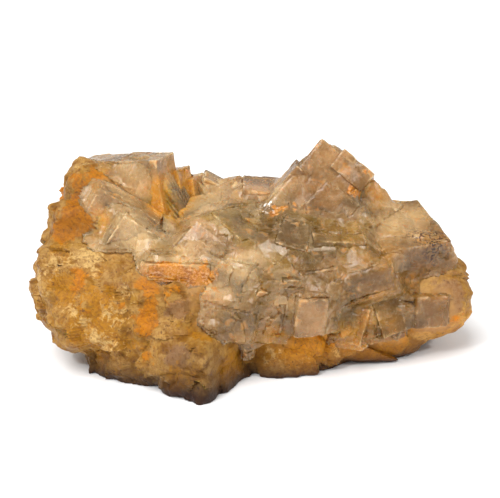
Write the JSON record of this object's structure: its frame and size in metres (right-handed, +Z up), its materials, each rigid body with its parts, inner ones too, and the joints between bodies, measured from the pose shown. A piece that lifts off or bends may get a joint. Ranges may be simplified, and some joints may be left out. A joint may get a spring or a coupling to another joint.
{
  "type": "fluorite cluster",
  "caption": "Mineral specimen: pale frosted fluorite cubes grown together on a block of iron-stained vein rock, standing on a flat base for display.",
  "frame": {"origin": "on the flat base, under the middle of the whole cluster's box", "axes": "+Z up, +X along the cluster towards the single big cube, -Y faces the side that shows the crystals"},
  "size_m": [0.1117, 0.0556, 0.0542],
  "materials": {
    "vein_rock": "rough, broken, stained orange and ochre by iron",
    "frosted_fluorite": "cloudy, frosted by fine growth steps",
    "amber_fluorite": "cloudy, stained amber by iron"
  },
  "bodies": {
    "root": {"matrix": "vein_rock", "left_back_crystals": "frosted_fluorite", "left_front_crystals": "frosted_fluorite", "back_left_crystal": "frosted_fluorite", "slab_crystals": "frosted_fluorite", "peak_crystals": "frosted_fluorite", "amber_crystal": "amber_fluorite", "right_crystal": "frosted_fluorite", "dome_crystal": "frosted_fluorite", "middle_crystals": "frosted_fluorite", "ledge_crystals": "frosted_fluorite", "block_crystals": "frosted_fluorite", "lower_crystals": "frosted_fluorite"}
  },
  "joints": []
}
